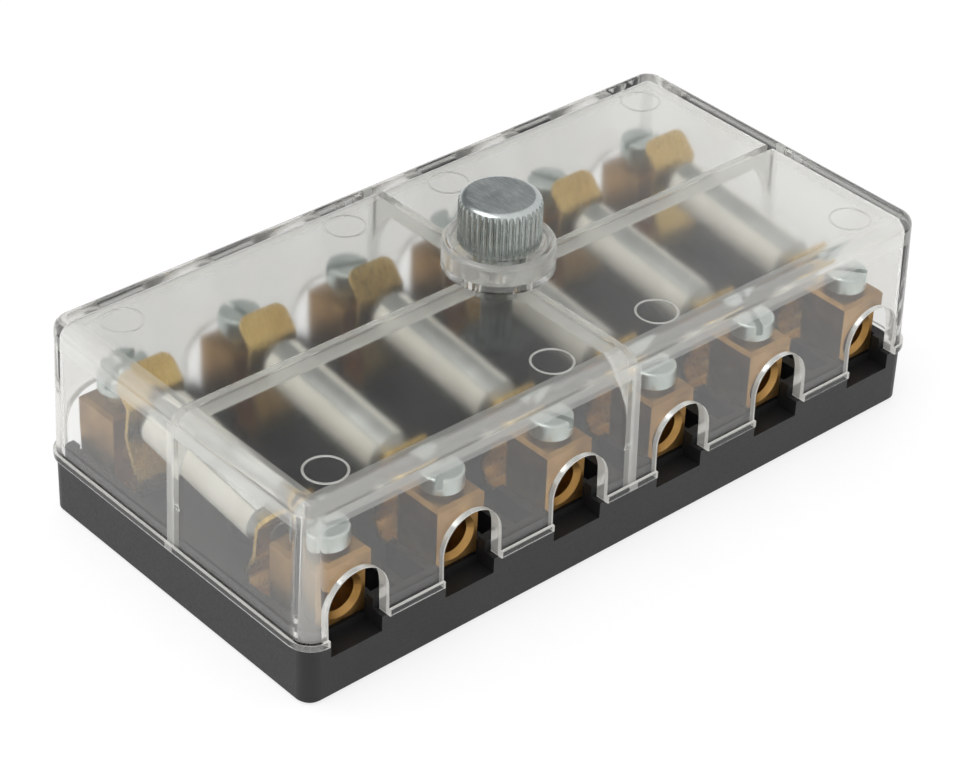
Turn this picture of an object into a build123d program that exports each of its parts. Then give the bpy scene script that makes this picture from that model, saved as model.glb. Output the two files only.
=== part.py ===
from build123d import *
from math import cos, radians, sin, tan
import os

# A six-way fuse box for torpedo fuses: a black moulded base, brass screw terminals with spring
# contacts along both long sides, a fuse across each way, and a clear cover held by a knurled nut.
# Millimetres. X runs along the row of ways, Y across them, Z up. The origin is the centre of the
# base's underside. Front is -Y and way 1 is at the -X end.

# Row of ways
way_count = 6
way_pitch = 17.1
end_margin = 7.25

# Base moulding
entry_depth = 3.0
base_corner_radius = 2.0
base_edge_chamfer = 0.4
underside_depth = 2.8
floor_thickness = 2.2
skirt_thickness = 2.2
underside_rib_thickness = 1.4
ledge_rise = 3.0
rim_height = 1.6
rim_thickness = 1.3
barrier_thickness = 1.4
barrier_height = 4.0

# Cover moulding
cover_overhang = 0.4
cover_draft = 1.5
cover_wall = 1.8
cover_roof = 1.8
cover_headroom = 3.0
cover_corner_radius = 3.2
cover_edge_radius = 1.6
cover_inner_edge_radius = 0.8
cover_fit = 0.25
lip_height = 1.1
lip_bulge = 0.35
lip_radius = 0.3
roof_rib_thickness = 1.2
roof_rib_depth = 2.0
gusset_reach = 3.4
gusset_drop = 10.6
gusset_hollow = 0.28

# Wire entries in cover and base
arch_width = 8.9
arch_rise = 1.0
notch_depth = 2.1
notch_clearance = 0.15

# Rings left in the roof by the ejector pins
ejector_radius = 2.75
ejector_line_width = 0.3
ejector_line_depth = 0.15
ejector_inset = 6.2

# Collar round the middle hole of the cover
collar_height = 3.6
collar_wall = 1.2
collar_clearance = 0.7
collar_floor = 0.6
collar_edge_radius = 0.5
boss_radius = 4.4
boss_depth = 2.0

# Stud, its pillar and the knurled nut
stud_radius = 2.0
stud_reach = 7.0
stud_embed = 9.0
stud_chamfer = 0.5
stud_hole_clearance = 0.35
nut_thread_clearance = 0.05
pillar_height = 11.0
pillar_draft = 1.0
pillar_fuse_gap = 1.05
nut_radius = 5.2
nut_head_height = 6.7
nut_top_radius = 1.0
nut_foot_chamfer = 0.6
nut_neck_radius = 3.4
nut_neck_height = 2.45
nut_bore_end_gap = 0.7
flute_count = 40
flute_radius = 0.36
flute_depth = 0.26

# Screw terminals
block_side_wall = 0.5
block_depth = 7.0
block_height = 9.6
block_fuse_gap = 2.5
block_edge_chamfer = 0.45
wire_bore_radius = 2.45
wire_bore_rise = 3.65
wire_bore_chamfer = 0.65
seat_rise = 2.0
pocket_clearance = 0.1
pocket_wall = 1.2
pocket_height = 2.0
pocket_overlap = 0.4

# Clamp screws
screw_radius = 1.75
screw_thread_clearance = 0.05
screw_length = 3.7
screw_head_radius = 2.75
screw_head_height = 2.2
screw_head_gap_front = 0.6
screw_head_gap_back = 1.6
screw_head_edge = 0.3
screw_tip_chamfer = 0.4
slot_width = 0.9
slot_depth = 1.3
slot_turn_per_way = 67.0
slot_turn_back_row = 25.0

# Torpedo fuses
fuse_length = 25.0
fuse_radius = 3.0
fuse_rise = 9.6
fuse_tilt = 7.0
fuse_turn = 50.0
fuse_cone_length = 2.2
fuse_tip_radius = 1.15
fuse_metal_thickness = 0.3
fuse_strip_width = 2.4

# Spring contacts
spring_thickness = 0.5
spring_side_clearance = 0.1
spring_foot_setback = 0.7
spring_grip = 0.4
spring_heel_step = 0.4
spring_waist_step = 1.9
spring_waist_rise = 2.6
spring_flat_below = 2.3
spring_flat_above = 2.1
spring_lip_step_front = 1.3
spring_lip_rise_front = 3.8
spring_lip_step_back = 2.6
spring_lip_rise_back = 5.1
spring_lip_corner = 1.6
spring_heel_radius = 0.8
spring_bend_radius = 2.0
spring_lip_radius = 1.0
spring_eye_clearance = 0.06

# Mounting holes in the floor
mount_hole_radius = 2.2
mount_boss_radius = 5.4
mount_head_radius = 4.3
mount_head_depth = 2.0

# Heights, worked upwards from the floor
floor_level = underside_depth + floor_thickness
ledge_height = floor_level + ledge_rise
rim_top = ledge_height + rim_height
notch_floor_level = ledge_height - notch_depth
seat_level = floor_level + seat_rise
pocket_top = seat_level + pocket_height
block_bottom = seat_level + spring_thickness
block_top = block_bottom + block_height
wire_bore_height = block_bottom + wire_bore_rise
arch_centre_height = wire_bore_height + arch_rise
screw_head_gap = {"front": screw_head_gap_front, "back": screw_head_gap_back}
fuse_height = seat_level + fuse_rise
spring_seat = fuse_length / 2 - spring_grip
spring_seat_rise = spring_seat * sin(radians(fuse_tilt))
spring_top = fuse_height + spring_seat_rise + spring_lip_rise_back
roof_inside = spring_top + cover_headroom
roof_level = roof_inside + cover_roof
cover_height = roof_level - ledge_height
collar_top = roof_level + collar_height
collar_floor_level = roof_level + collar_floor
nut_head_bottom = collar_floor_level + nut_neck_height
nut_top = nut_head_bottom + nut_head_height
stud_top = collar_floor_level + stud_reach
pillar_top = floor_level + pillar_height

# Widths and radii, worked outwards from the fuses
spring_seat_reach = spring_seat * cos(radians(fuse_tilt))
block_inner_face = fuse_length / 2 + block_fuse_gap
block_outer_face = block_inner_face + block_depth
block_centre = block_inner_face + block_depth / 2
block_width = 2 * (wire_bore_radius + wire_bore_chamfer + block_side_wall)
notch_width = block_width + 2 * notch_clearance
spring_width = block_width - 2 * spring_side_clearance
pillar_radius = way_pitch / 2 - fuse_radius - pillar_fuse_gap
collar_radius = nut_radius + collar_clearance + collar_wall
base_length = (way_count - 1) * way_pitch + 2 * end_margin
base_width = 2 * (block_outer_face + entry_depth)
cover_length = base_length + 2 * cover_overhang
cover_width = base_width + 2 * cover_overhang
rim_length = cover_length - 2 * cover_wall - 2 * cover_fit
rim_width = cover_width - 2 * cover_wall - 2 * cover_fit
rim_corner_radius = cover_corner_radius - cover_wall - cover_fit
tray_length = rim_length - 2 * rim_thickness
tray_width = rim_width - 2 * rim_thickness
ejector_row_offset = cover_width / 2 - ejector_inset
fuse_cone_slope = (fuse_radius - fuse_tip_radius) / fuse_cone_length
spring_eye_radius = fuse_tip_radius + fuse_cone_slope * spring_grip + spring_eye_clearance
mount_hole_spacing = 4 * way_pitch

way_centres = [(way - (way_count - 1) / 2) * way_pitch for way in range(way_count)]
barrier_centres = [x + way_pitch / 2 for x in way_centres[:-1]]
middle_way = way_count // 2
ejector_centres = [way_centres[way] for way in (0, middle_way - 1, middle_way, way_count - 1)]
rows = {"front": -1, "back": 1}

os.makedirs("parts", exist_ok=True)


def save(builder, name):
    builder.part.label = name
    export_step(builder.part, "parts/" + name + ".step")


# Base: a tray with a ledge for the cover, a locating rim, a pocket for each terminal and low
# barriers between the ways
def make_base():
    pocket_inner_face = block_inner_face - pocket_overlap
    pocket_centre = (tray_width / 2 + pocket_inner_face) / 2
    pocket_outside = block_width + 2 * pocket_clearance + 2 * pocket_wall
    with BuildPart() as base:
        with BuildSketch(Plane.XY):
            RectangleRounded(base_length, base_width, base_corner_radius)
        extrude(amount=ledge_height)
        chamfer(base.edges().group_by(Axis.Z)[0], base_edge_chamfer)
        with BuildSketch(Plane.XY.offset(ledge_height)):
            RectangleRounded(rim_length, rim_width, rim_corner_radius)
        extrude(amount=rim_height)
        with BuildSketch(Plane.XY.offset(floor_level)):
            Rectangle(tray_length, tray_width)
        extrude(amount=rim_top - floor_level, mode=Mode.SUBTRACT)

        # pocket walls, barriers, screw bosses
        with BuildSketch(Plane.XY.offset(floor_level)):
            with Locations([(x, side * pocket_centre) for x in way_centres for side in rows.values()]):
                Rectangle(pocket_outside, tray_width / 2 - pocket_inner_face)
        extrude(amount=pocket_top - floor_level)
        with BuildSketch(Plane.XY.offset(floor_level)):
            with Locations([(x, 0) for x in barrier_centres]):
                Rectangle(barrier_thickness, tray_width)
        extrude(amount=barrier_height)
        with BuildSketch(Plane.XY.offset(floor_level)):
            with GridLocations(mount_hole_spacing, 0, 2, 1):
                Circle(mount_boss_radius)
        extrude(amount=barrier_height)

        # seats of the terminals, open to the tray
        with BuildSketch(Plane.XY.offset(seat_level)):
            with Locations([(x, side * pocket_centre) for x in way_centres for side in rows.values()]):
                Rectangle(block_width + 2 * pocket_clearance, tray_width / 2 - pocket_inner_face)
        extrude(amount=pocket_height, mode=Mode.SUBTRACT)

        # notches for the wires, right through both long walls
        with BuildSketch(Plane.XY.offset(notch_floor_level)):
            with Locations([(x, side * base_width / 2) for x in way_centres for side in rows.values()]):
                Rectangle(notch_width, base_width - tray_width)
        extrude(amount=rim_top - notch_floor_level, mode=Mode.SUBTRACT)

        # pillar that holds the stud
        with BuildSketch(Plane.XY.offset(floor_level)):
            Circle(pillar_radius)
        extrude(amount=pillar_top - floor_level, taper=pillar_draft)

        # hollow underside with its ribs and bosses
        with BuildSketch(Plane.XY):
            Rectangle(base_length - 2 * skirt_thickness, base_width - 2 * skirt_thickness)
        extrude(amount=underside_depth, mode=Mode.SUBTRACT)
        with BuildSketch(Plane.XY):
            Rectangle(base_length - skirt_thickness, underside_rib_thickness)
            with Locations([(x, 0) for x in barrier_centres]):
                Rectangle(underside_rib_thickness, base_width - skirt_thickness)
            Circle(pillar_radius)
            with GridLocations(mount_hole_spacing, 0, 2, 1):
                Circle(mount_boss_radius)
        extrude(amount=underside_depth)

        with Locations((0, 0, pillar_top)):
            Hole(stud_radius, depth=stud_embed)
        with Locations([(side * mount_hole_spacing / 2, 0, floor_level + barrier_height) for side in (-1, 1)]):
            CounterBoreHole(mount_hole_radius, mount_head_radius, mount_head_depth)
    save(base, "base")


# Hollow of the cover, with the thin rings that the ejector pins leave in the roof
def make_cover_hollow():
    with BuildPart() as hollow:
        with BuildSketch(Plane.XY.offset(ledge_height)):
            RectangleRounded(
                cover_length - 2 * cover_wall,
                cover_width - 2 * cover_wall,
                cover_corner_radius - cover_wall,
            )
        extrude(amount=cover_height - cover_roof, taper=cover_draft)
        fillet(hollow.faces().sort_by(Axis.Z)[-1].edges(), cover_inner_edge_radius)
        with BuildSketch(Plane.XY.offset(roof_inside)):
            with Locations([(x, side * ejector_row_offset) for x in ejector_centres for side in rows.values()]):
                Circle(ejector_radius)
                Circle(ejector_radius - ejector_line_width, mode=Mode.SUBTRACT)
        extrude(amount=ejector_line_depth)
    return hollow.part


# One gusset: a pointed web from the end of a rib down its wall, with a hollow inner edge
def make_gusset(plane, side, wall_face, rib_bottom):
    root = side * (wall_face + cover_wall / 2)
    foot = (side * wall_face, rib_bottom - gusset_drop)
    shoulder = (side * (wall_face - gusset_reach), rib_bottom)
    middle = (
        side * (wall_face - gusset_reach * gusset_hollow),
        rib_bottom - gusset_drop * gusset_hollow,
    )
    with BuildPart() as gusset:
        with BuildSketch(plane):
            with BuildLine():
                ThreePointArc(foot, middle, shoulder)
                Polyline(shoulder, (shoulder[0], roof_inside), (root, roof_inside), (root, foot[1]), foot)
            make_face()
        extrude(amount=roof_rib_thickness / 2, both=True)
    return gusset.part


# Cover: a thin drafted box with wire arches, a cross of ribs under the roof that run down the
# walls as pointed gussets, and a collar round the middle hole
def make_cover():
    hollow = make_cover_hollow()
    rib_bottom = roof_inside - roof_rib_depth
    wall_lean = (rib_bottom - ledge_height) * tan(radians(cover_draft))
    end_face = cover_length / 2 - cover_wall - wall_lean
    side_face = cover_width / 2 - cover_wall - wall_lean
    gussets = [make_gusset(Plane.XZ, side, end_face, rib_bottom) for side in (-1, 1)]
    gussets += [make_gusset(Plane.YZ, side, side_face, rib_bottom) for side in (-1, 1)]
    with BuildPart() as cover:
        with BuildSketch(Plane.XY.offset(ledge_height)):
            RectangleRounded(cover_length, cover_width, cover_corner_radius)
        extrude(amount=cover_height, taper=cover_draft)
        fillet(cover.faces().sort_by(Axis.Z)[-1].edges(), cover_edge_radius)
        with BuildSketch(Plane.XY.offset(ledge_height)):
            RectangleRounded(
                cover_length + 2 * lip_bulge,
                cover_width + 2 * lip_bulge,
                cover_corner_radius + lip_bulge,
            )
        extrude(amount=lip_height)
        fillet(cover.edges().filter_by_position(Axis.Z, ledge_height, ledge_height), lip_radius)
        add(hollow, mode=Mode.SUBTRACT)

        # arches over the wire entries
        with BuildSketch(Plane.XZ):
            with Locations([(x, ledge_height) for x in way_centres]):
                Rectangle(arch_width, 2 * (arch_centre_height - ledge_height))
            with Locations([(x, arch_centre_height) for x in way_centres]):
                Circle(arch_width / 2)
        extrude(amount=cover_width, both=True, mode=Mode.SUBTRACT)

        # cross of ribs, gussets, collar and boss
        with BuildSketch(Plane.XY.offset(rib_bottom)):
            Rectangle(cover_length - 2 * wall_lean - cover_wall, roof_rib_thickness)
            Rectangle(roof_rib_thickness, cover_width - 2 * wall_lean - cover_wall)
        extrude(amount=roof_rib_depth + cover_roof / 2)
        add(gussets)
        with BuildSketch(Plane.XY.offset(roof_inside - boss_depth)):
            Circle(boss_radius)
        extrude(amount=boss_depth + cover_roof / 2)
        with BuildSketch(Plane.XY.offset(roof_inside)):
            Circle(collar_radius)
        extrude(amount=collar_top - roof_inside)
        with BuildSketch(Plane.XY.offset(collar_floor_level)):
            Circle(collar_radius - collar_wall)
        extrude(amount=collar_height, mode=Mode.SUBTRACT)
        fillet(cover.edges().group_by(Axis.Z)[-1], collar_edge_radius)
        with Locations((0, 0, collar_top)):
            Hole(stud_radius + stud_hole_clearance)
    save(cover, "cover")


# Stud: a plain round rod set in the pillar
def make_stud():
    with BuildPart() as stud:
        with BuildSketch(Plane.XY.offset(pillar_top - stud_embed)):
            Circle(stud_radius)
        extrude(amount=stud_top - pillar_top + stud_embed)
        chamfer(stud.edges().group_by(Axis.Z)[-1], stud_chamfer)
    save(stud, "stud")


# Knurled nut: a fluted head with a rounded top, a neck that stands in the collar, a blind bore
def make_nut():
    with BuildPart() as nut:
        with BuildSketch(Plane.XY.offset(nut_head_bottom)):
            Circle(nut_radius)
            with PolarLocations(nut_radius + flute_radius - flute_depth, flute_count):
                Circle(flute_radius, mode=Mode.SUBTRACT)
        extrude(amount=nut_head_height)
        with BuildSketch(Plane.XZ):
            with BuildLine():
                Polyline(
                    (nut_radius, nut_top - nut_top_radius),
                    (nut_radius, nut_head_bottom + nut_foot_chamfer),
                    (nut_radius - nut_foot_chamfer, nut_head_bottom),
                    (0, nut_head_bottom),
                    (0, nut_top),
                    (nut_radius - nut_top_radius, nut_top),
                )
                RadiusArc(
                    (nut_radius - nut_top_radius, nut_top),
                    (nut_radius, nut_top - nut_top_radius),
                    nut_top_radius,
                )
            make_face()
        revolve(axis=Axis.Z, mode=Mode.INTERSECT)
        with BuildSketch(Plane.XY.offset(collar_floor_level)):
            Circle(nut_neck_radius)
        extrude(amount=nut_head_bottom - collar_floor_level)
        with BuildSketch(Plane.XY.offset(collar_floor_level)):
            Circle(stud_radius + nut_thread_clearance)
        extrude(amount=stud_top + nut_bore_end_gap - collar_floor_level, mode=Mode.SUBTRACT)
    save(nut, "knurled_nut")


# Terminal block: a brass block with a bore for the wire and a threaded hole for the clamp screw
def make_terminal_block(x, row):
    side = rows[row]
    with BuildPart() as block:
        with BuildSketch(Plane.XY.offset(block_bottom)):
            with Locations((x, side * block_centre)):
                Rectangle(block_width, block_depth)
        extrude(amount=block_top - block_bottom)
        chamfer(block.faces().sort_by(Axis.Z)[-1].edges(), block_edge_chamfer)
        with BuildSketch(Plane.XZ):
            with Locations((x, wire_bore_height)):
                Circle(wire_bore_radius)
        extrude(amount=base_width, both=True, mode=Mode.SUBTRACT)
        outer_face = block.faces().sort_by(Axis.Y)[-1 if side > 0 else 0]
        chamfer(outer_face.edges().filter_by(GeomType.CIRCLE), wire_bore_chamfer)
        with BuildSketch(Plane.XY.offset(wire_bore_height)):
            with Locations((x, side * block_centre)):
                Circle(screw_radius + screw_thread_clearance)
        extrude(amount=block_top - wire_bore_height, mode=Mode.SUBTRACT)
    return block


# Clamp screw: a slotted cheese head on a plain shank whose tip stops short of the wire
def make_clamp_screw(x, row, way):
    side = rows[row]
    head_bottom = block_top + screw_head_gap[row]
    head_top = head_bottom + screw_head_height
    turn = slot_turn_per_way * way + slot_turn_back_row * side
    with BuildPart() as screw:
        with BuildSketch(Plane.XY.offset(head_bottom - screw_length)):
            with Locations((x, side * block_centre)):
                Circle(screw_radius)
        extrude(amount=screw_length)
        chamfer(screw.edges().group_by(Axis.Z)[0], screw_tip_chamfer)
        with BuildSketch(Plane.XY.offset(head_bottom)):
            with Locations((x, side * block_centre)):
                Circle(screw_head_radius)
        extrude(amount=screw_head_height)
        fillet(screw.edges().group_by(Axis.Z)[-1], screw_head_edge)
        with BuildSketch(Plane.XY.offset(head_top)):
            with Locations(Location((x, side * block_centre, 0), (0, 0, turn))):
                Rectangle(2 * screw_head_radius + slot_width, slot_width)
        extrude(amount=-slot_depth, mode=Mode.SUBTRACT)
    return screw


# Spring contact: one strip from a foot under the block, up a leaf that stands square to the fuse
# round the eye for its cone, to a lip that leans outwards
def make_spring_contact(x, row):
    side = rows[row]
    lean = (-sin(radians(fuse_tilt)), cos(radians(fuse_tilt)))
    seat = (side * spring_seat_reach, fuse_height + side * spring_seat_rise)
    lip_step = spring_lip_step_back if side > 0 else spring_lip_step_front
    lip_rise = spring_lip_rise_back if side > 0 else spring_lip_rise_front
    route = [
        (side * (block_outer_face - spring_foot_setback), seat_level),
        (side * (spring_seat_reach - spring_heel_step), seat_level),
        (side * (spring_seat_reach - spring_waist_step), seat_level + spring_waist_rise),
        (seat[0] - spring_flat_below * lean[0], seat[1] - spring_flat_below * lean[1]),
        (seat[0] + spring_flat_above * lean[0], seat[1] + spring_flat_above * lean[1]),
        (seat[0] + side * lip_step, seat[1] + lip_rise),
    ]
    radii = [spring_heel_radius, spring_bend_radius, spring_bend_radius, spring_lip_radius]
    with BuildPart() as spring:
        with BuildSketch(Plane.YZ.offset(x - spring_width / 2)):
            with BuildLine():
                FilletPolyline(*route, radius=radii)
                offset(amount=spring_thickness, side=Side.RIGHT if side > 0 else Side.LEFT)
            make_face()
        extrude(amount=spring_width)
        lip_end = spring.faces().sort_by(Axis.Z)[-1]
        fillet(lip_end.edges().filter_by(Axis.X, reverse=True), spring_lip_corner)
        with BuildSketch(Plane(origin=(x, 0, fuse_height), x_dir=(1, 0, 0), z_dir=(0, lean[1], -lean[0]))):
            Circle(spring_eye_radius)
        extrude(amount=side * base_width / 2, mode=Mode.SUBTRACT)
    return spring


# Fuse body: a ceramic rod with a cone at each end and a flat along one side for the strip
def make_fuse_body():
    shoulder = fuse_length / 2 - fuse_cone_length
    metal = fuse_metal_thickness
    with BuildPart() as body:
        with BuildSketch(Plane.YZ):
            with BuildLine():
                Polyline(
                    (0, 0),
                    (0, fuse_radius),
                    (shoulder, fuse_radius),
                    (shoulder, fuse_radius - metal),
                    (fuse_length / 2 - metal, fuse_tip_radius - metal),
                    (fuse_length / 2 - metal, 0),
                    close=True,
                )
            make_face()
        revolve(axis=Axis.Y)
        mirror(about=Plane.XZ)
        with BuildSketch(Plane.XY.offset(fuse_radius)):
            Rectangle(fuse_strip_width, fuse_length)
        extrude(amount=-metal, mode=Mode.SUBTRACT)
    return body


# Fuse strip: the melting strip along that side, in one piece with the caps over the cones
def make_fuse_strip():
    shoulder = fuse_length / 2 - fuse_cone_length
    metal = fuse_metal_thickness
    with BuildPart() as strip:
        with BuildSketch(Plane.YZ):
            with BuildLine():
                Polyline(
                    (shoulder, fuse_radius - metal),
                    (shoulder, fuse_radius),
                    (fuse_length / 2, fuse_tip_radius),
                    (fuse_length / 2, 0),
                    (fuse_length / 2 - metal, 0),
                    (fuse_length / 2 - metal, fuse_tip_radius - metal),
                    close=True,
                )
            make_face()
        revolve(axis=Axis.Y)
        mirror(about=Plane.XZ)
        with BuildSketch(Plane.XY.offset(fuse_radius)):
            Rectangle(fuse_strip_width, 2 * shoulder)
        extrude(amount=-metal)
    return strip


# A fuse piece set in its way, tilted down towards the front and turned about its own axis
def place_in_way(piece, x):
    with BuildPart() as placed:
        with Locations(Location((x, 0, fuse_height), (fuse_tilt, fuse_turn, 0))):
            add(piece.part)
    return placed


make_base()
make_cover()
make_stud()
make_nut()
for way, x in enumerate(way_centres):
    way_name = "_way_" + str(way + 1)
    save(place_in_way(make_fuse_body(), x), "fuse_body" + way_name)
    save(place_in_way(make_fuse_strip(), x), "fuse_strip" + way_name)
    for row in rows:
        save(make_terminal_block(x, row), "terminal_block_" + row + way_name)
        save(make_clamp_screw(x, row, way), "clamp_screw_" + row + way_name)
        save(make_spring_contact(x, row), "spring_contact_" + row + way_name)
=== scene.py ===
from math import cos, pi, radians, sin

import bmesh
import bpy
from bpy.props import FloatProperty, FloatVectorProperty, PointerProperty
from bpy.types import Operator, Panel, PropertyGroup
from mathutils import Matrix, Vector


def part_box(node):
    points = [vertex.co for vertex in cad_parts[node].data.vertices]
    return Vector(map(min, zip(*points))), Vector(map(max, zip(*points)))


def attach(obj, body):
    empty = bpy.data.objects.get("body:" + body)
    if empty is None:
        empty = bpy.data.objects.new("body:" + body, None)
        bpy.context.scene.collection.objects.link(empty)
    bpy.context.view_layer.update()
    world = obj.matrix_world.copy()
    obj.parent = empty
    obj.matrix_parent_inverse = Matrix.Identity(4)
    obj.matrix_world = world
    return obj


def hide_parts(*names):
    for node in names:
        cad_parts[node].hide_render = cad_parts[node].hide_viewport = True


bl_info = {
    "name": "Fuse Box",
    "version": (1, 0, 0),
    "blender": (4, 5, 0),
    "location": "3D View > Sidebar > Fuse Box",
    "description": "Finishes the six-way fuse box with its clear cover, terminals and knurled nut",
    "category": "Object",
}

# Loading the frame
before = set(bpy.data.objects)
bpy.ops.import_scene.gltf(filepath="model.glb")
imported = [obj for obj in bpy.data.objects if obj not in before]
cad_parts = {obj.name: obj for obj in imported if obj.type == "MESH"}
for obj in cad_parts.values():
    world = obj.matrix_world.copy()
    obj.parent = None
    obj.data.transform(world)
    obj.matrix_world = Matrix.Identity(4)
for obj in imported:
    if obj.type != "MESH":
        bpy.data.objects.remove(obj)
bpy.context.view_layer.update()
MM = 0.001
WAYS = range(1, 7)
ROWS = ("front", "back")

# Torpedo fuses, and how they lie in the contacts
FUSE_LENGTH = 25.0 * MM
FUSE_RADIUS = 3.0 * MM
FUSE_TIP_RADIUS = 1.15 * MM
FUSE_CONE_LENGTH = 2.2 * MM
FUSE_SHOULDER = FUSE_LENGTH / 2 - FUSE_CONE_LENGTH
FUSE_HEIGHT = 16.6 * MM
FUSE_TILT = radians(7.0)
ROD_ROUNDING = 0.12 * MM
ROD_LEDGE = 0.05 * MM
CAP_THICKNESS = 0.3 * MM
CAP_SKIRT = 0.25 * MM
CAP_PROUD = 0.01 * MM
CAP_EDGE_START = 0.15 * MM
CAP_EDGE_OUT = 0.13 * MM
CAP_EDGE_IN = 0.05 * MM
STRIP_WIDTH = 2.4 * MM
STRIP_LAP = 0.1 * MM
STRIP_EDGE = 0.06 * MM
ROUND_STEPS = 64

# The stud's thread
THREAD_DEPTH = 0.3 * MM
THREAD_CREST = (0.4, 0.6)
THREAD_STEPS = 20

# Places on the cover: heights above the table, and reaches from its middle
RIM_TOP = 8.15 * MM
ARCH_TOP = 17.0 * MM
ARCH_INNER_REACH = 22.5 * MM
ARCH_OUTER_REACH = 24.8 * MM
END_WALL_REACH = 48.0 * MM
BORDER_BOTTOM = 24.4 * MM
BORDER_REACH = 21.6 * MM
LENGTH_OVER_WIDTH = 25.0 * MM
RIB_TOP = 25.9 * MM
RIB_REACH = 0.7 * MM
RING_BOTTOM = 26.25 * MM
ROOF_INSIDE = 26.4 * MM
ROOF_MIDDLE = 27.0 * MM
COLLAR_BOTTOM = 28.2 * MM
COLLAR_REACH = 9.0 * MM
NUT_REACH = 12.0 * MM

# Reach of a normal along an axis, from 0 to 1: a level face has more than LEVEL upwards, the wall
# of an arch less than ARCH_SLANT outwards, and a rounded edge sets in through ROUNDED_FADE
LEVEL = 0.9
ARCH_SLANT = 0.5
ROUNDED_FADE = (0.95, 0.995)

# The room that metal and glass reflect: the table ends and the ceiling starts at these elevations
TABLE_FADE = (sin(radians(8.0)), sin(radians(20.0)))
CEILING_FADE = (sin(radians(50.0)), sin(radians(66.0)))
NEAR_FADE = (-0.4, 0.2)
NEAR_LIGHT = 0.7
WINDOW_FADE = (0.0, 0.1)

# Floor and lamp
FLOOR_REACH = 3.0
FLOOR_GLOW = 0.75
LAMP_PLACE = (-0.25, 0.1, 0.55)
LAMP_SIZE = (0.5, 0.35)
BOX_MIDDLE = (0.0, 0.0, 0.015)

# Sockets of the mix of two colours
MIX_FACTOR, MIX_FIRST, MIX_SECOND, MIX_RESULT = 0, 6, 7, 2


# Helpers
def linear(hex_colour):
    """An sRGB hex colour as linear red, green, blue and alpha."""
    channels = [int(hex_colour[i : i + 2], 16) / 255 for i in (1, 3, 5)]
    return [c / 12.92 if c <= 0.04045 else ((c + 0.055) / 1.055) ** 2.4 for c in channels] + [1.0]


def add_node(tree, kind, settings=None, inputs=None):
    """A node with its settings, and with each input set to a value or linked to a socket."""
    node = tree.nodes.new(kind)
    for name, value in (settings or {}).items():
        setattr(node, name, value)
    for name, value in (inputs or {}).items():
        if isinstance(value, bpy.types.NodeSocket):
            tree.links.new(value, node.inputs[name])
        else:
            node.inputs[name].default_value = value
    return node


def start_material(name):
    """A bare node material, with its tree and its output."""
    material = bpy.data.materials.new(name)
    material.use_nodes = True
    tree = material.node_tree
    tree.nodes.clear()
    return material, tree, add_node(tree, "ShaderNodeOutputMaterial")


def pattern_scale(size_mm):
    """The scale of a texture whose detail measures size_mm, on coordinates in metres."""
    return 1.0 / (size_mm * MM)


def cloud_over(tree, place, size_mm, detail, dark, colour, fade=(0.3, 0.7)):
    """A colour that turns to a darker one in soft patches of size_mm."""
    patches = add_node(
        tree,
        "ShaderNodeTexNoise",
        inputs={"Vector": place, "Scale": pattern_scale(size_mm), "Detail": detail},
    )
    share = add_node(
        tree,
        "ShaderNodeMapRange",
        inputs={"Value": patches.outputs["Fac"], "From Min": fade[0], "From Max": fade[1]},
    )
    mix = add_node(
        tree,
        "ShaderNodeMix",
        settings={"data_type": "RGBA"},
        inputs={MIX_FACTOR: share.outputs["Result"], MIX_FIRST: linear(dark), MIX_SECOND: colour},
    )
    return mix.outputs[MIX_RESULT]


def mark_surface(tree, place, size_mm, detail, stretch, roughness, depth_mm):
    """Marks that vary the roughness and stand depth_mm high, drawn out where stretch is under 1.

    The real ones are finer than the picture shows, so size_mm is as coarse as they need to show."""
    drawn_out = add_node(tree, "ShaderNodeMapping", inputs={"Vector": place, "Scale": stretch})
    marks = add_node(
        tree,
        "ShaderNodeTexNoise",
        inputs={
            "Vector": drawn_out.outputs["Vector"],
            "Scale": pattern_scale(size_mm),
            "Detail": detail,
            "Roughness": 0.6,
        },
    ).outputs["Fac"]
    shine = add_node(
        tree,
        "ShaderNodeMapRange",
        inputs={
            "Value": marks,
            "From Min": 0.3,
            "From Max": 0.7,
            "To Min": roughness[0],
            "To Max": roughness[1],
        },
    )
    relief = add_node(tree, "ShaderNodeBump", inputs={"Distance": depth_mm * MM, "Height": marks})
    return shine.outputs["Result"], relief.outputs["Normal"]


def dress(node, material):
    """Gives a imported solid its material."""
    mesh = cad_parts[node].data
    mesh.materials.clear()
    mesh.materials.append(material)


def keep_piece(name, shape, body, material):
    """A new piece from a bmesh, on its body, with its finish."""
    mesh = bpy.data.meshes.new(name)
    shape.to_mesh(mesh)
    shape.free()
    piece = bpy.data.objects.new(name, mesh)
    bpy.context.scene.collection.objects.link(piece)
    mesh.materials.append(material)
    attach(piece, body)
    return piece


# Settings
class FuseBoxPlasticSettings(PropertyGroup):
    """Colours and finish of the two mouldings."""

    base_colour: FloatVectorProperty(
        name="Base", description="Colour of the black base moulding",
        subtype="COLOR", size=4, default=linear("#1d1d1e"), min=0.0, max=1.0,
    )
    base_roughness: FloatProperty(
        name="Base roughness", description="How broad the base's shine is",
        subtype="FACTOR", default=0.42, min=0.0, max=1.0,
    )
    cover_tint: FloatVectorProperty(
        name="Cover", description="Colour of white paper seen through one wall of the cover",
        subtype="COLOR", size=4, default=linear("#eeeeec"), min=0.0, max=1.0,
    )
    cover_polish: FloatProperty(
        name="Cover polish", description="Roughness of the cover's outside",
        subtype="FACTOR", default=0.06, min=0.0, max=1.0,
    )
    cover_haze: FloatProperty(
        name="Cover haze",
        description="Roughness of the roof's inside, left a little dull by the mould",
        subtype="FACTOR", default=0.14, min=0.0, max=1.0,
    )
    # Share of painted highlight on the rounded edges: white in place of the clear plastic, where
    # light reflected inside the wall shines
    cover_highlight: FloatProperty(
        name="Cover frost", description="How milky the cover's rounded edges are",
        subtype="FACTOR", default=0.24, min=0.0, max=1.0,
    )


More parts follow.
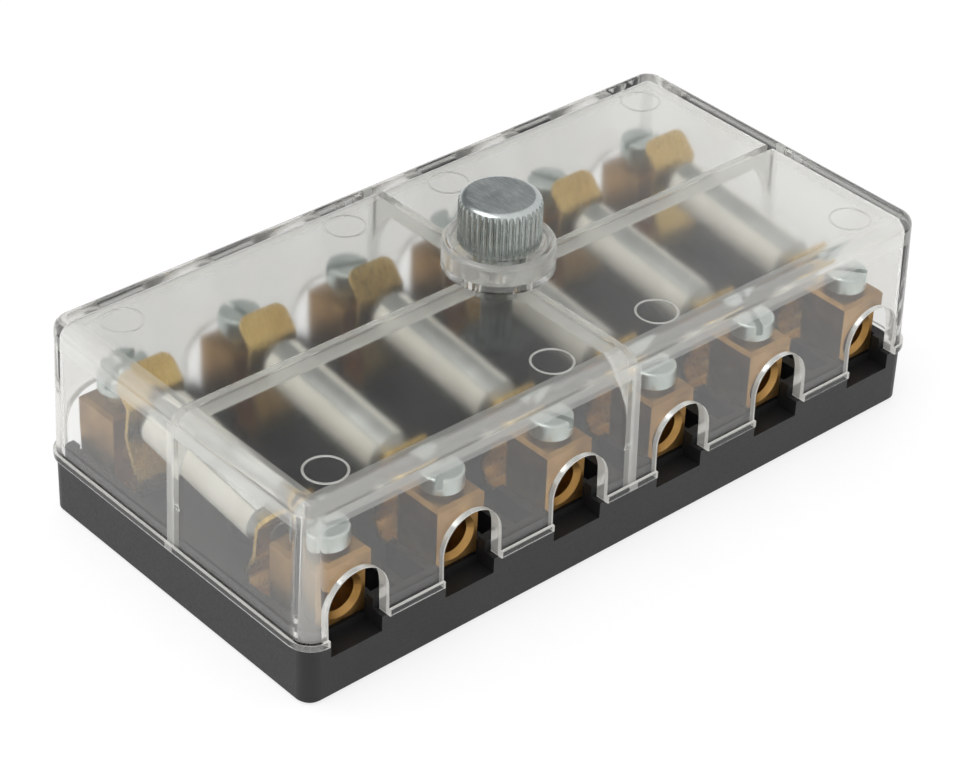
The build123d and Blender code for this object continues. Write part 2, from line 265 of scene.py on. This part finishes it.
class FuseBoxMetalSettings(PropertyGroup):
    """Colours of the metal and ceramic pieces, the fuses' turn and the stud's thread."""

    brass: FloatVectorProperty(
        name="Brass", description="Colour of the cut brass blocks",
        subtype="COLOR", size=4, default=linear("#b8915a"), min=0.0, max=1.0,
    )
    strip_brass: FloatVectorProperty(
        name="Brass strip", description="Colour of the spring contacts",
        subtype="COLOR", size=4, default=linear("#e0c27c"), min=0.0, max=1.0,
    )
    zinc: FloatVectorProperty(
        name="Zinc", description="Colour of the clamp screws' zinc plating",
        subtype="COLOR", size=4, default=linear("#dde4e2"), min=0.0, max=1.0,
    )
    ceramic: FloatVectorProperty(
        name="Ceramic", description="Colour of the fuses' ceramic",
        subtype="COLOR", size=4, default=linear("#f5f3ea"), min=0.0, max=1.0,
    )
    fuse_turn: FloatProperty(
        name="Fuse turn", description="Turn of the fuses about their own axis",
        subtype="ANGLE", unit="ROTATION", default=radians(-15.0),
    )
    thread_pitch: FloatProperty(
        name="Thread pitch", description="Rise of the stud's thread in one turn",
        subtype="DISTANCE", unit="LENGTH", precision=5,
        default=0.7 * MM, min=0.2 * MM, max=2.0 * MM,
    )


class FuseBoxStageSettings(PropertyGroup):
    """Camera and light."""

    camera_place: FloatVectorProperty(
        name="Camera", description="Where the camera stands",
        subtype="TRANSLATION", unit="LENGTH", size=3,
        default=(-213.66 * MM, -228.96 * MM, 226.0 * MM),
    )
    camera_azimuth: FloatProperty(
        name="Azimuth", description="Turn of the camera about the vertical",
        subtype="ANGLE", unit="ROTATION", default=radians(-42.78),
    )
    camera_elevation: FloatProperty(
        name="Elevation", description="Height of the camera above the level",
        subtype="ANGLE", unit="ROTATION", default=radians(34.61),
    )
    camera_roll: FloatProperty(
        name="Roll", description="Turn of the camera about its own line of sight",
        subtype="ANGLE", unit="ROTATION", default=radians(2.35),
    )
    lens: FloatProperty(
        name="Lens", description="Focal length on a 36 mm wide sensor, in millimetres",
        default=112.63, min=10.0, max=500.0,
    )
    sky_strength: FloatProperty(
        name="Sky", description="Strength of the white surroundings as a light",
        default=0.95, min=0.0, max=5.0,
    )
    room_colour: FloatVectorProperty(
        name="Room", description="Colour of the room that metal and glass reflect above the table",
        subtype="COLOR", size=4, default=linear("#8d8f90"), min=0.0, max=1.0,
    )
    softbox_power: FloatProperty(
        name="Softbox", description="Power of the large lamp above",
        subtype="POWER", unit="POWER", default=1.2, min=0.0, max=50.0,
    )


# Materials
def make_base_plastic(settings):
    """Glass-filled nylon, moulded: a satin black whose shine breaks up over a fine grain."""
    material, tree, output = start_material("moulded_black_nylon")
    place = add_node(tree, "ShaderNodeTexCoord").outputs["Object"]
    shade = cloud_over(
        tree, place, size_mm=9.0, detail=2.0, dark="#181819", colour=settings.base_colour
    )
    roughness, normal = mark_surface(
        tree, place, size_mm=0.28, detail=2.0, stretch=(1.0, 1.0, 1.0), depth_mm=0.012,
        roughness=(settings.base_roughness - 0.05, settings.base_roughness + 0.08),
    )
    shader = add_node(
        tree,
        "ShaderNodeBsdfPrincipled",
        inputs={
            "IOR": 1.53,
            "Specular IOR Level": 0.36,
            "Base Color": shade,
            "Roughness": roughness,
            "Normal": normal,
        },
    )
    tree.links.new(shader.outputs["BSDF"], output.inputs["Surface"])
    return material


def make_cover_plastic(settings):
    """Styrene-acrylonitrile, moulded clear: glossy outside, a little hazy under the roof, and
    painted white where light runs along it to a rounded edge, a rib, an arch or the bottom rim, as
    a painted highlight of the light that the clear walls carry inside."""
    material, tree, output = start_material("moulded_clear_styrene")
    place = add_node(tree, "ShaderNodeTexCoord").outputs["Object"]
    normal = add_node(tree, "ShaderNodeNewGeometry").outputs["Normal"]
    reach = sizes_along(tree, place)
    facing = sizes_along(tree, normal)
    # The slow waves that a large flat wall takes as it cools
    waves = add_node(
        tree,
        "ShaderNodeTexNoise",
        inputs={"Vector": place, "Scale": pattern_scale(7.0), "Detail": 1.0},
    )
    relief = add_node(
        tree, "ShaderNodeBump", inputs={"Distance": 0.02 * MM, "Height": waves.outputs["Fac"]}
    )
    glassy = add_node(
        tree,
        "ShaderNodeBsdfPrincipled",
        inputs={
            "Base Color": settings.cover_tint,
            "IOR": 1.57,
            "Transmission Weight": 1.0,
            "Roughness": measure_haze(tree, reach, facing, settings),
            "Normal": relief.outputs["Normal"],
        },
    )
    # Painted highlight: diffuse and translucent white, standing in for the light that the clear
    # walls carry and reflect inside
    white = linear("#f4f4f1")
    lit_from_outside = add_node(tree, "ShaderNodeBsdfDiffuse", inputs={"Color": white})
    lit_from_within = add_node(tree, "ShaderNodeBsdfTranslucent", inputs={"Color": white})
    painted_highlight = add_node(
        tree,
        "ShaderNodeMixShader",
        inputs={0: 0.5, 1: lit_from_outside.outputs["BSDF"], 2: lit_from_within.outputs["BSDF"]},
    )
    surface = add_node(
        tree,
        "ShaderNodeMixShader",
        inputs={
            0: measure_painted_highlight(tree, reach, facing, settings),
            1: glassy.outputs["BSDF"],
            2: painted_highlight.outputs["Shader"],
        },
    )
    # Light on its way to the pieces inside passes straight through
    rays = add_node(tree, "ShaderNodeLightPath").outputs
    clear = add_node(tree, "ShaderNodeBsdfTransparent", inputs={"Color": settings.cover_tint})
    let_through = add_node(
        tree,
        "ShaderNodeMixShader",
        inputs={0: rays["Is Shadow Ray"], 1: surface.outputs["Shader"], 2: clear.outputs["BSDF"]},
    )
    tree.links.new(let_through.outputs["Shader"], output.inputs["Surface"])
    return material


def sizes_along(tree, vector):
    """The sizes of a vector along X, Y and Z, whichever way it points."""
    size = add_node(
        tree, "ShaderNodeVectorMath", settings={"operation": "ABSOLUTE"}, inputs={0: vector}
    )
    parts = add_node(tree, "ShaderNodeSeparateXYZ", inputs={"Vector": size.outputs["Vector"]})
    return parts.outputs["X"], parts.outputs["Y"], parts.outputs["Z"]


def share_where(tree, share, tests):
    """A share that is kept where all the tests hold and is nothing elsewhere."""
    for operation, value, limit in tests:
        test = add_node(
            tree, "ShaderNodeMath", settings={"operation": operation}, inputs={0: value, 1: limit}
        )
        share = add_node(
            tree,
            "ShaderNodeMath",
            settings={"operation": "MULTIPLY"},
            inputs={0: test.outputs["Value"], 1: share},
        ).outputs["Value"]
    return share


def measure_haze(tree, reach, facing, settings):
    """Roughness of the cover: dull on the underside of the roof, polished elsewhere."""
    under_roof = share_where(
        tree, 1.0, (("GREATER_THAN", facing[2], LEVEL), ("LESS_THAN", reach[2], ROOF_MIDDLE))
    )
    return add_node(
        tree,
        "ShaderNodeMapRange",
        inputs={
            "Value": under_roof,
            "To Min": settings.cover_polish,
            "To Max": settings.cover_haze,
        },
    ).outputs["Result"]


def measure_painted_highlight(tree, reach, facing, settings):
    """Share of painted highlight on rounded edges, ribs, arches, rim, rings, collar and roof
    border:
    white in place of clear plastic where light reflected inside the wall shines.
    """
    x, y, z = reach
    combined = {}
    for name, operation, first, second in (
        ("nearest", "MINIMUM", x, y),
        ("furthest", "MAXIMUM", x, y),
        ("past_width", "SUBTRACT", x, LENGTH_OVER_WIDTH),
        ("border", "MAXIMUM", "past_width", y),
        ("facing_side", "MAXIMUM", facing[0], facing[1]),
        ("facing", "MAXIMUM", "facing_side", facing[2]),
    ):
        combined[name] = add_node(
            tree,
            "ShaderNodeMath",
            settings={"operation": operation},
            inputs={0: combined.get(first, first), 1: second},
        ).outputs["Value"]
    rounded = add_node(
        tree,
        "ShaderNodeMapRange",
        inputs={
            "Value": combined["facing"],
            "From Min": ROUNDED_FADE[0],
            "From Max": ROUNDED_FADE[1],
            "To Min": settings.cover_highlight,
            "To Max": 0.0,
        },
    ).outputs["Result"]
    clear_of_nut = (("GREATER_THAN", combined["furthest"], NUT_REACH),)
    ribs = (("LESS_THAN", combined["nearest"], RIB_REACH), ("LESS_THAN", z, RIB_TOP))
    arches = (
        ("LESS_THAN", z, ARCH_TOP),
        ("LESS_THAN", facing[1], ARCH_SLANT),
        ("GREATER_THAN", y, ARCH_INNER_REACH),
        ("LESS_THAN", x, END_WALL_REACH),
    )
    arch_edges = arches + (("GREATER_THAN", y, ARCH_OUTER_REACH),)
    rim = (("LESS_THAN", z, RIM_TOP),)
    rings = (
        ("GREATER_THAN", z, RING_BOTTOM),
        ("LESS_THAN", z, ROOF_INSIDE),
        ("GREATER_THAN", facing[2], LEVEL),
    )
    collar = (("GREATER_THAN", z, COLLAR_BOTTOM), ("LESS_THAN", x, COLLAR_REACH))
    roof_border = (
        ("GREATER_THAN", combined["border"], BORDER_REACH),
        ("GREATER_THAN", z, BORDER_BOTTOM),
        ("LESS_THAN", z, ROOF_INSIDE),
    )
    # The painted highlight takes the largest share that any of these places asks for
    highlight = 0.0
    for share, tests in (
        (rounded, clear_of_nut),
        (0.45, ribs),
        (0.45, arches),
        (0.95, arch_edges),
        (0.95, rim),
        (0.6, rings),
        (0.22, collar),
        (0.26, roof_border),
    ):
        highlight = add_node(
            tree,
            "ShaderNodeMath",
            settings={"operation": "MAXIMUM"},
            inputs={0: highlight, 1: share_where(tree, share, tests)},
        ).outputs["Value"]
    return highlight


def make_metal(name, colour, dark, roughness, cloud_mm, marks_mm, stretch, depth_mm):
    """A metal whose colour clouds over, with fine marks drawn out along one way."""
    material, tree, output = start_material(name)
    place = add_node(tree, "ShaderNodeTexCoord").outputs["Object"]
    shade = cloud_over(
        tree, place, size_mm=cloud_mm, detail=3.0, dark=dark, colour=colour, fade=(0.35, 0.7)
    )
    marked_roughness, normal = mark_surface(
        tree, place, size_mm=marks_mm, detail=3.0, stretch=stretch, depth_mm=depth_mm,
        roughness=(roughness - 0.06, roughness + 0.1),
    )
    shader = add_node(
        tree,
        "ShaderNodeBsdfPrincipled",
        inputs={
            "Metallic": 1.0,
            "Base Color": shade,
            "Roughness": marked_roughness,
            "Normal": normal,
        },
    )
    tree.links.new(shader.outputs["BSDF"], output.inputs["Surface"])
    return material


def make_ceramic(settings):
    """Steatite, pressed and fired without a glaze: a chalky white with faint grey specks."""
    material, tree, output = start_material("fired_steatite")
    place = add_node(tree, "ShaderNodeTexCoord").outputs["Object"]
    specks = add_node(
        tree,
        "ShaderNodeTexNoise",
        inputs={
            "Vector": place,
            "Scale": pattern_scale(0.5),
            "Detail": 4.0,
            "Roughness": 0.7,
        },
    ).outputs["Fac"]
    clouded = cloud_over(
        tree, place, size_mm=5.0, detail=2.0, dark="#e6e3d8", colour=settings.ceramic
    )
    share = add_node(
        tree,
        "ShaderNodeMapRange",
        inputs={"Value": specks, "From Min": 0.62, "From Max": 0.8, "To Max": 0.5},
    )
    mix = add_node(
        tree,
        "ShaderNodeMix",
        settings={"data_type": "RGBA"},
        inputs={
            MIX_FACTOR: share.outputs["Result"],
            MIX_FIRST: clouded,
            MIX_SECOND: linear("#b9b5a8"),
        },
    )
    relief = add_node(tree, "ShaderNodeBump", inputs={"Distance": 0.01 * MM, "Height": specks})
    shader = add_node(
        tree,
        "ShaderNodeBsdfPrincipled",
        inputs={
            "IOR": 1.6,
            "Roughness": 0.5,
            "Base Color": mix.outputs[MIX_RESULT],
            "Normal": relief.outputs["Normal"],
        },
    )
    tree.links.new(shader.outputs["BSDF"], output.inputs["Surface"])
    return material


# Operators
class FUSEBOX_OT_mould_base(Operator):
    """Finish the black base moulding"""

    bl_idname = "fuse_box.mould_base"
    bl_label = "Mould Base"

    def execute(self, context):
        dress("base", make_base_plastic(context.scene.fuse_box_plastic))
        return {"FINISHED"}


class FUSEBOX_OT_mould_cover(Operator):
    """Finish the clear cover"""

    bl_idname = "fuse_box.mould_cover"
    bl_label = "Mould Cover"

    def execute(self, context):
        dress("cover", make_cover_plastic(context.scene.fuse_box_plastic))
        return {"FINISHED"}


class FUSEBOX_OT_cut_stud(Operator):
    """Cut the thread of the stud"""

    bl_idname = "fuse_box.cut_stud"
    bl_label = "Cut Stud"

    def execute(self, context):
        settings = context.scene.fuse_box_metal
        low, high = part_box("stud")
        radius = (high.x - low.x) / 2
        # Steel, cut and blackened: nearly black, with a dull shine on the thread's crests
        material = make_metal(
            "blackened_steel_stud", linear("#5c5e5e"), dark="#474949", roughness=0.42,
            cloud_mm=1.5, marks_mm=0.2, stretch=(1.0, 1.0, 6.0), depth_mm=0.004,
        )
        stud = cut_thread(radius, low.z, high.z, settings.thread_pitch)
        piece = keep_piece("threaded_stud", stud, "base_body", material)
        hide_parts("stud")
        return {"FINISHED"}


class FUSEBOX_OT_turn_nut(Operator):
    """Finish the knurled nut"""

    bl_idname = "fuse_box.turn_nut"
    bl_label = "Turn Nut"

    def execute(self, context):
        # Steel, turned and zinc-plated: a cool grey that mirrors the room, brushed along its flutes
        material = make_metal(
            "turned_zinc_plated_nut", linear("#c4cac8"), dark="#aab0af", roughness=0.22,
            cloud_mm=4.0, marks_mm=0.3, stretch=(1.0, 0.15, 0.15), depth_mm=0.0003,
        )
        dress("knurled_nut", material)
        return {"FINISHED"}


class FUSEBOX_OT_machine_blocks(Operator):
    """Finish the brass terminal blocks"""

    bl_idname = "fuse_box.machine_blocks"
    bl_label = "Machine Terminal Blocks"

    def execute(self, context):
        settings = context.scene.fuse_box_metal
        # Brass, sawn from bar: a warm brown gold, dulled by saw marks across each block
        material = make_metal(
            "sawn_brass", settings.brass, dark="#94703f", roughness=0.32,
            cloud_mm=4.0, marks_mm=0.12, stretch=(0.1, 1.0, 1.0), depth_mm=0.003,
        )
        for way in WAYS:
            for row in ROWS:
                dress(f"terminal_block_{row}_way_{way}", material)
        return {"FINISHED"}


class FUSEBOX_OT_drive_screws(Operator):
    """Finish the clamp screws"""

    bl_idname = "fuse_box.drive_screws"
    bl_label = "Drive Clamp Screws"

    def execute(self, context):
        settings = context.scene.fuse_box_metal
        # Steel, barrel-plated with zinc: a pale cool grey with a soft, even shine
        material = make_metal(
            "bright_zinc_plating", settings.zinc, dark="#ccd6d3", roughness=0.34,
            cloud_mm=2.5, marks_mm=0.12, stretch=(1.0, 1.0, 1.0), depth_mm=0.002,
        )
        for way in WAYS:
            for row in ROWS:
                dress(f"clamp_screw_{row}_way_{way}", material)
        return {"FINISHED"}


class FUSEBOX_OT_press_contacts(Operator):
    """Finish the spring contacts"""

    bl_idname = "fuse_box.press_contacts"
    bl_label = "Press Spring Contacts"

    def execute(self, context):
        settings = context.scene.fuse_box_metal
        # Brass, rolled and pressed: yellower and smoother than the blocks, with faint rolling lines
        material = make_metal(
            "rolled_brass_strip", settings.strip_brass, dark="#c8a765", roughness=0.28,
            cloud_mm=6.0, marks_mm=0.35, stretch=(1.0, 0.4, 0.4), depth_mm=0.001,
        )
        for way in WAYS:
            for row in ROWS:
                dress(f"spring_contact_{row}_way_{way}", material)
        return {"FINISHED"}


class FUSEBOX_OT_fit_fuses(Operator):
    """Make the fuses' ceramic rods, and their melting strips with the end caps"""

    bl_idname = "fuse_box.fit_fuses"
    bl_label = "Fit Fuses"

    def execute(self, context):
        settings = context.scene.fuse_box_metal
        ceramic = make_ceramic(settings)
        # Aluminium, rolled: a neutral pale grey whose shine is drawn out along the strip
        aluminium = make_metal(
            "rolled_aluminium", linear("#bebfbd"), dark="#a8aaa8", roughness=0.38,
            cloud_mm=3.0, marks_mm=0.12, stretch=(1.0, 0.1, 1.0), depth_mm=0.002,
        )
        for way in WAYS:
            low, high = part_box(f"terminal_block_front_way_{way}")
            middle = Vector(((low.x + high.x) / 2, 0.0, FUSE_HEIGHT))
            set_in_way = (
                Matrix.Translation(middle)
                @ Matrix.Rotation(FUSE_TILT, 4, "X")
                @ Matrix.Rotation(settings.fuse_turn, 4, "Y")
            )
            rod = keep_piece(
                f"ceramic_rod_way_{way}", turn_rod(set_in_way), "base_body",
                ceramic,
            )
            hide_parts(f"fuse_body_way_{way}")
            strip = keep_piece(
                f"melting_strip_way_{way}", press_strip(set_in_way), "base_body",
                aluminium,
            )
            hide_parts(f"fuse_strip_way_{way}")
        return {"FINISHED"}


class FUSEBOX_OT_set_stage(Operator):
    """Set the floor, the white surroundings, the lamp and the camera"""

    bl_idname = "fuse_box.set_stage"
    bl_label = "Set Stage"

    def execute(self, context):
        settings = context.scene.fuse_box_stage
        lay_floor()
        light_sky(context.scene, settings)
        hang_softbox(context.scene, settings)
        stand_camera(context.scene, settings)
        context.scene.view_settings.view_transform = "Standard"
        return {"FINISHED"}


# Shapes
def cut_thread(radius, bottom, top, pitch):
    """A round rod with a screw thread from end to end."""
    thread = bmesh.new()
    root = radius - THREAD_DEPTH
    rise, fall = (share * pitch for share in THREAD_CREST)
    outline = [(root, 0.0), (radius, rise), (radius, fall), (root, pitch)]
    turns = int((top - bottom) / pitch) - 1
    points = [thread.verts.new((x, 0.0, bottom + z)) for x, z in outline]
    edges = [thread.edges.new(pair) for pair in zip(points, points[1:])]
    bmesh.ops.spin(
        thread, geom=points + edges, axis=(0.0, 0.0, 1.0), cent=(0.0, 0.0, 0.0),
        dvec=(0.0, 0.0, pitch / THREAD_STEPS), angle=2 * pi * turns, steps=THREAD_STEPS * turns,
    )
    bmesh.ops.remove_doubles(thread, verts=thread.verts, dist=0.005 * MM)
    bmesh.ops.create_cone(
        thread, cap_ends=True, segments=2 * THREAD_STEPS, radius1=root, radius2=root,
        depth=top - bottom, matrix=Matrix.Translation((0.0, 0.0, (bottom + top) / 2)),
    )
    bmesh.ops.recalc_face_normals(thread, faces=thread.faces)
    return thread


def spin_outline(outline):
    """A closed round body about Y from its outline of (along, radius) points."""
    body = bmesh.new()
    points = [body.verts.new((0.0, along, radius)) for along, radius in outline]
    edges = [body.edges.new(pair) for pair in zip(points, points[1:])]
    bmesh.ops.spin(
        body, geom=points + edges, axis=(0.0, 1.0, 0.0), cent=(0.0, 0.0, 0.0),
        angle=2 * pi, steps=ROUND_STEPS, use_merge=True,
    )
    bmesh.ops.remove_doubles(body, verts=body.verts, dist=0.001 * MM)
    bmesh.ops.recalc_face_normals(body, faces=body.faces)
    return body


def turn_rod(set_in_way):
    """The ceramic rod of a fuse, rounded at its shoulders, with a flat for the strip."""
    end = FUSE_LENGTH / 2 - CAP_THICKNESS
    half = [
        (end, 0.0),
        (end, FUSE_TIP_RADIUS - CAP_THICKNESS),
        (FUSE_SHOULDER + ROD_LEDGE, FUSE_RADIUS - CAP_THICKNESS),
        (FUSE_SHOULDER, FUSE_RADIUS - ROD_ROUNDING),
        (FUSE_SHOULDER - ROD_ROUNDING, FUSE_RADIUS),
    ]
    rod = spin_outline(half + [(-along, radius) for along, radius in reversed(half)])
    bmesh.ops.bisect_plane(
        rod, geom=rod.verts[:] + rod.edges[:] + rod.faces[:], clear_outer=True,
        plane_co=(0.0, 0.0, FUSE_RADIUS - CAP_THICKNESS), plane_no=(0.0, 0.0, 1.0),
    )
    bmesh.ops.holes_fill(rod, edges=[edge for edge in rod.edges if edge.is_boundary])
    bmesh.ops.recalc_face_normals(rod, faces=rod.faces)
    bmesh.ops.transform(rod, matrix=set_in_way, verts=rod.verts)
    smooth_sides(rod)
    return rod


def press_strip(set_in_way):
    """The melting strip along the flat, with the caps pressed over the two cones."""
    end = FUSE_LENGTH / 2
    strip = bmesh.new()
    for side in (1, -1):
        cap = spin_outline(
            [
                (side * (end - CAP_THICKNESS), 0.0),
                (side * (end - CAP_THICKNESS), FUSE_TIP_RADIUS - CAP_THICKNESS),
                (side * FUSE_SHOULDER, FUSE_RADIUS - CAP_THICKNESS),
                (side * (FUSE_SHOULDER - CAP_SKIRT), FUSE_RADIUS - CAP_THICKNESS),
                (side * (FUSE_SHOULDER - CAP_SKIRT), FUSE_RADIUS + CAP_PROUD),
                (side * FUSE_SHOULDER, FUSE_RADIUS + CAP_PROUD),
                (side * (end - CAP_EDGE_START), FUSE_TIP_RADIUS + CAP_EDGE_OUT),
                (side * end, FUSE_TIP_RADIUS - CAP_EDGE_IN),
                (side * end, 0.0),
            ]
        )
        mesh = bpy.data.meshes.new("cap")
        cap.to_mesh(mesh)
        cap.free()
        strip.from_mesh(mesh)
        bpy.data.meshes.remove(mesh)
    plate = bmesh.ops.create_cube(strip, size=1.0)["verts"]
    plate_edges = [edge for edge in strip.edges if edge.verts[0] in plate]
    bmesh.ops.scale(
        strip, vec=(STRIP_WIDTH, 2 * (FUSE_SHOULDER + STRIP_LAP), CAP_THICKNESS), verts=plate
    )
    bmesh.ops.translate(strip, vec=(0.0, 0.0, FUSE_RADIUS - CAP_THICKNESS / 2), verts=plate)
    bmesh.ops.bevel(
        strip, geom=plate_edges, affect="EDGES", offset=STRIP_EDGE, segments=2, profile=0.5,
        material=-1,
    )
    bmesh.ops.transform(strip, matrix=set_in_way, verts=strip.verts)
    smooth_sides(strip)
    return strip


def smooth_sides(body):
    """Smooth shading, with edges sharp where faces meet at more than 30 degrees."""
    for face in body.faces:
        face.smooth = True
    for edge in body.edges:
        edge.smooth = edge.calc_face_angle(0.0) < radians(30.0)


# Stage
def find_looks(tree):
    """1 for rays by which the camera looks, and 1 for those by which metal or glass does.

    Rays that light a dull surface are neither."""
    rays = add_node(tree, "ShaderNodeLightPath").outputs
    through = add_node(
        tree,
        "ShaderNodeMath",
        settings={"operation": "MAXIMUM"},
        inputs={0: rays["Is Glossy Ray"], 1: rays["Is Transmission Ray"]},
    ).outputs["Value"]
    seen = share_where(tree, through, (("LESS_THAN", rays["Diffuse Depth"], 0.5),))
    return rays["Is Camera Ray"], seen


def lay_floor():
    """A floor of matt white paper: plain white but for the object's soft shadow."""
    floor = bmesh.new()
    bmesh.ops.create_grid(floor, x_segments=1, y_segments=1, size=FLOOR_REACH)
    mesh = bpy.data.meshes.new("pale_floor")
    floor.to_mesh(mesh)
    floor.free()
    plane = bpy.data.objects.new("pale_floor", mesh)
    bpy.context.scene.collection.objects.link(plane)
    material, tree, output = start_material("matt_white_paper")
    paper = add_node(tree, "ShaderNodeBsdfDiffuse", inputs={"Color": linear("#ffffff")})
    glow = add_node(tree, "ShaderNodeEmission", inputs={"Strength": 1.0})
    by_camera, by_mirror = find_looks(tree)
    looks = add_node(
        tree,
        "ShaderNodeMath",
        settings={"operation": "MAXIMUM"},
        inputs={0: by_camera, 1: by_mirror},
    )
    share = add_node(
        tree,
        "ShaderNodeMath",
        settings={"operation": "MULTIPLY"},
        inputs={0: looks.outputs["Value"], 1: FLOOR_GLOW},
    )
    mix = add_node(
        tree,
        "ShaderNodeMixShader",
        inputs={0: share.outputs["Value"], 1: paper.outputs["BSDF"], 2: glow.outputs["Emission"]},
    )
    tree.links.new(mix.outputs["Shader"], output.inputs["Surface"])
    mesh.materials.append(material)


def light_sky(scene, settings):
    """Plain white surroundings, with a grey room between table and ceiling for metal and glass."""
    world = bpy.data.worlds.new("white_surroundings")
    scene.world = world
    world.use_nodes = True
    tree = world.node_tree
    tree.nodes.clear()
    direction = add_node(tree, "ShaderNodeTexCoord").outputs["Generated"]
    azimuth = settings.camera_azimuth
    away, across, height = (
        add_node(
            tree,
            "ShaderNodeVectorMath",
            settings={"operation": "DOT_PRODUCT"},
            inputs={0: direction, 1: axis},
        ).outputs["Value"]
        for axis in (
            (-sin(azimuth), cos(azimuth), 0.0),
            (cos(azimuth), sin(azimuth), 0.0),
            (0.0, 0.0, 1.0),
        )
    )
    lit = 0.0
    for value, fade, start, stop in (
        (height, TABLE_FADE, 1.0, 0.0),
        (height, CEILING_FADE, 0.0, 1.0),
        (away, NEAR_FADE, NEAR_LIGHT, 0.0),
        (across, WINDOW_FADE, 0.0, 1.0),
    ):
        part = add_node(
            tree,
            "ShaderNodeMapRange",
            inputs={
                "Value": value,
                "From Min": fade[0],
                "From Max": fade[1],
                "To Min": start,
                "To Max": stop,
            },
        )
        lit = add_node(
            tree,
            "ShaderNodeMath",
            settings={"operation": "MAXIMUM"},
            inputs={0: lit, 1: part.outputs["Result"]},
        ).outputs["Value"]
    room = add_node(
        tree,
        "ShaderNodeMix",
        settings={"data_type": "RGBA"},
        inputs={MIX_FACTOR: lit, MIX_FIRST: settings.room_colour, MIX_SECOND: linear("#ffffff")},
    )
    as_light, as_backdrop, as_mirrored = (
        add_node(
            tree, "ShaderNodeBackground", inputs={"Color": colour, "Strength": strength}
        ).outputs["Background"]
        for colour, strength in (
            (linear("#ffffff"), settings.sky_strength),
            (linear("#ffffff"), 1.0),
            (room.outputs[MIX_RESULT], 1.0),
        )
    )
    by_camera, by_mirror = find_looks(tree)
    plain = add_node(
        tree, "ShaderNodeMixShader", inputs={0: by_camera, 1: as_light, 2: as_backdrop}
    )
    mix = add_node(
        tree,
        "ShaderNodeMixShader",
        inputs={0: by_mirror, 1: plain.outputs["Shader"], 2: as_mirrored},
    )
    output = add_node(tree, "ShaderNodeOutputWorld")
    tree.links.new(mix.outputs["Shader"], output.inputs["Surface"])


def hang_softbox(scene, settings):
    """One large soft lamp above and to the left."""
    lamp = bpy.data.lights.new("softbox", "AREA")
    lamp.shape = "RECTANGLE"
    lamp.size, lamp.size_y = LAMP_SIZE
    lamp.energy = settings.softbox_power
    holder = bpy.data.objects.new("softbox", lamp)
    holder.location = LAMP_PLACE
    holder.rotation_mode = "QUATERNION"
    holder.rotation_quaternion = (Vector(BOX_MIDDLE) - holder.location).to_track_quat("-Z", "Y")
    scene.collection.objects.link(holder)


def stand_camera(scene, settings):
    """The camera at the photograph's place and angle."""
    azimuth, elevation = settings.camera_azimuth, settings.camera_elevation
    roll = settings.camera_roll
    back = Vector((sin(azimuth) * cos(elevation), -cos(azimuth) * cos(elevation), sin(elevation)))
    right = Vector((cos(azimuth), sin(azimuth), 0.0))
    up = back.cross(right)
    rolled_right = cos(roll) * right + sin(roll) * up
    rolled_up = cos(roll) * up - sin(roll) * right
    data = bpy.data.cameras.new("camera")
    data.sensor_width = 36.0
    data.lens = settings.lens
    data.clip_start = 0.01
    data.clip_end = 20.0
    camera = bpy.data.objects.new("camera", data)
    camera.rotation_mode = "QUATERNION"
    axes = Matrix((rolled_right, rolled_up, back)).transposed()
    camera.rotation_quaternion = axes.to_quaternion()
    camera.location = settings.camera_place
    scene.collection.objects.link(camera)
    scene.camera = camera


# Panel
class FUSEBOX_PT_panel(Panel):
    """Lists the fuse box's steps and settings"""

    bl_idname = "FUSEBOX_PT_panel"
    bl_label = "Fuse Box"
    bl_space_type = "VIEW_3D"
    bl_region_type = "UI"
    bl_category = "Fuse Box"

    def draw(self, context):
        for step in STEPS:
            self.layout.operator(step.bl_idname)
        for group in ("fuse_box_plastic", "fuse_box_metal", "fuse_box_stage"):
            settings = getattr(context.scene, group)
            for name in settings.__annotations__:
                self.layout.prop(settings, name)


# Registration
SETTINGS = (FuseBoxPlasticSettings, FuseBoxMetalSettings, FuseBoxStageSettings)
STEPS = (
    FUSEBOX_OT_mould_base,
    FUSEBOX_OT_mould_cover,
    FUSEBOX_OT_cut_stud,
    FUSEBOX_OT_turn_nut,
    FUSEBOX_OT_machine_blocks,
    FUSEBOX_OT_drive_screws,
    FUSEBOX_OT_press_contacts,
    FUSEBOX_OT_fit_fuses,
    FUSEBOX_OT_set_stage,
)


def register():
    for kind in SETTINGS + STEPS + (FUSEBOX_PT_panel,):
        bpy.utils.register_class(kind)
    bpy.types.Scene.fuse_box_plastic = PointerProperty(type=FuseBoxPlasticSettings)
    bpy.types.Scene.fuse_box_metal = PointerProperty(type=FuseBoxMetalSettings)
    bpy.types.Scene.fuse_box_stage = PointerProperty(type=FuseBoxStageSettings)


def unregister():
    del bpy.types.Scene.fuse_box_stage
    del bpy.types.Scene.fuse_box_metal
    del bpy.types.Scene.fuse_box_plastic
    for kind in reversed(SETTINGS + STEPS + (FUSEBOX_PT_panel,)):
        bpy.utils.unregister_class(kind)


def main():
    """Registers the add-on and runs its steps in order."""
    register()
    bpy.ops.fuse_box.mould_base()
    bpy.ops.fuse_box.mould_cover()
    bpy.ops.fuse_box.cut_stud()
    bpy.ops.fuse_box.turn_nut()
    bpy.ops.fuse_box.machine_blocks()
    bpy.ops.fuse_box.drive_screws()
    bpy.ops.fuse_box.press_contacts()
    bpy.ops.fuse_box.fit_fuses()
    bpy.ops.fuse_box.set_stage()


if __name__ == "__main__":
    main()
